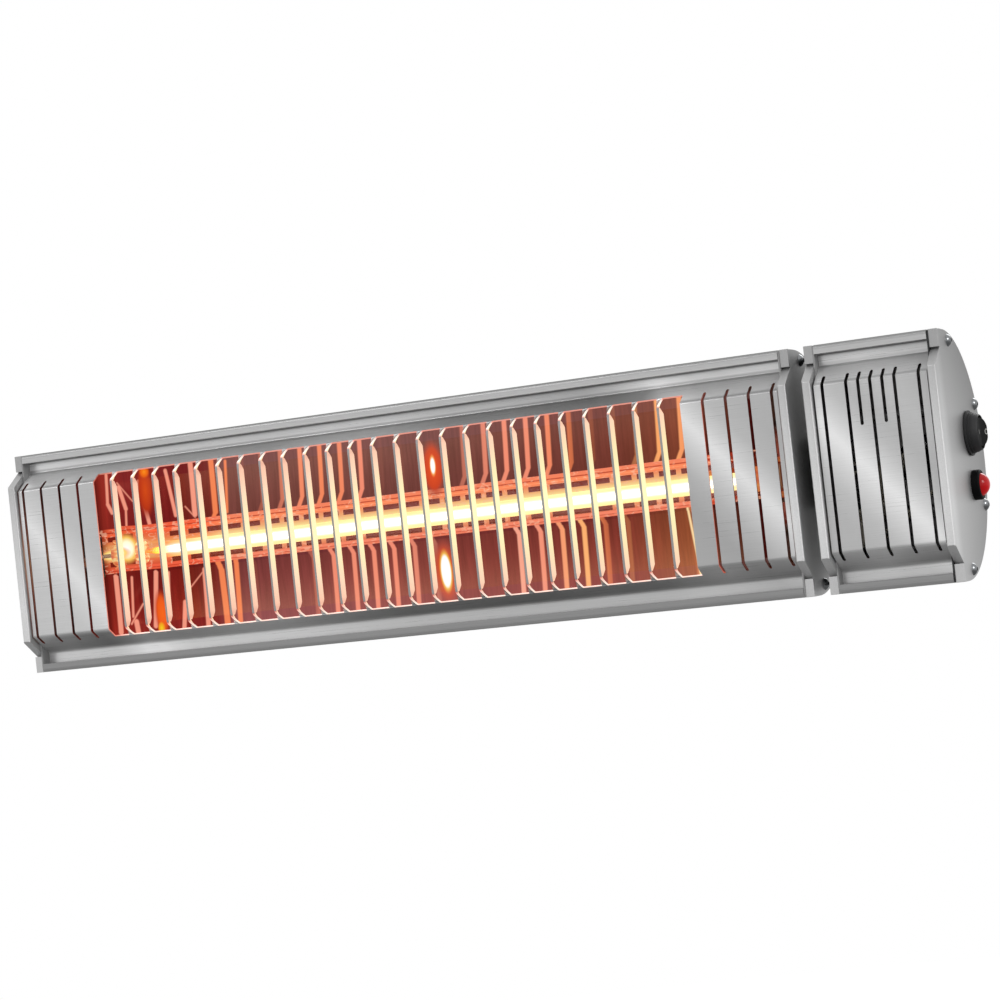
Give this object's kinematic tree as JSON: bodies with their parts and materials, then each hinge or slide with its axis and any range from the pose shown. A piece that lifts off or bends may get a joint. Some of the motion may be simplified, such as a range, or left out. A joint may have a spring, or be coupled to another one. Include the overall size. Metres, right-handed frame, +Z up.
{
  "type": "electric bar heater",
  "caption": "Wall-mounted electric bar heater: one glowing infrared lamp in a polished trough behind a silver grille, a control section with rocker switch and red pilot, tilting bracket.",
  "frame": {"origin": "centre of the wall bracket's back face, where it meets the wall", "axes": "+X along the heater, to the right for someone in front of it; +Y into the wall; +Z up; the heater faces -Y"},
  "size_m": [0.6726, 0.1706, 0.152],
  "materials": {
    "housing": "extruded and satin anodised, silver",
    "cover": "pressed stainless sheet, fine brushed",
    "plate": "die-cast, silver grey coat",
    "reflector": "bright rolled aluminium",
    "black_plastic": "moulded, fine satin",
    "rubber": "black moulded rubber",
    "bolt_steel": "bright stainless",
    "bracket_steel": "zinc grey coat",
    "ceramic": "unglazed steatite",
    "quartz": "clear quartz",
    "filament": "glowing tungsten coil",
    "red_lens": "red translucent dome, lit",
    "lead_sleeve": "glass-fibre sleeve",
    "earth_sleeve": "green and yellow insulation"
  },
  "bodies": {
    "bracket": {"wall_bracket": "bracket_steel", "pivot_bolts": "bolt_steel", "pivot_washers": "bolt_steel", "pivot_nuts": "bolt_steel"},
    "heater": {"tilt_bracket": "bracket_steel", "channel_bolts": "bolt_steel", "channel_nuts": "bolt_steel", "main_housing": "housing", "control_housing": "housing", "grille": "cover", "control_cover": "cover", "main_left_plate": "plate", "main_right_plate": "plate", "control_left_plate": "plate", "control_right_plate": "plate", "main_left_gasket": "rubber", "main_right_gasket": "rubber", "control_left_gasket": "rubber", "control_right_gasket": "rubber", "end_plate_screws": "bolt_steel", "neck": "black_plastic", "neck_grommet": "rubber", "neck_bolts": "bolt_steel", "neck_nuts": "bolt_steel", "reflector": "reflector", "left_end_reflector": "reflector", "right_end_reflector": "reflector", "end_reflector_rivets": "bolt_steel", "quartz_tube": "quartz", "filament": "filament", "lamp_caps": "ceramic", "lamp_clips": "bolt_steel", "lamp_stands": "bolt_steel", "lamp_stand_rivets": "bolt_steel", "lamp_leads": "lead_sleeve", "terminal_block": "ceramic", "terminal_screws": "bolt_steel", "earth_lead": "earth_sleeve", "switch_body": "black_plastic", "switch_collar": "rubber", "switch_leads": "lead_sleeve", "pilot_body": "black_plastic", "pilot_ring": "black_plastic", "pilot_lens": "red_lens", "pilot_nut": "black_plastic", "pilot_leads": "lead_sleeve", "gland_body": "black_plastic", "gland_locknut": "black_plastic", "gland_seal": "rubber", "gland_nut": "black_plastic"},
    "rocker": {"switch_rocker": "black_plastic"}
  },
  "joints": [
    {"name": "tilt", "type": "hinge", "parent": "bracket", "child": "heater", "pos_m": [0, -0.045, 0], "axis": [1, 0, 0], "range_deg": [-15, 45]},
    {"name": "switch", "type": "hinge", "parent": "heater", "child": "rocker", "pos_m": [0.329, -0.10588, 0.013], "axis": [0, 0, 1], "range_deg": [0, 16]}
  ]
}
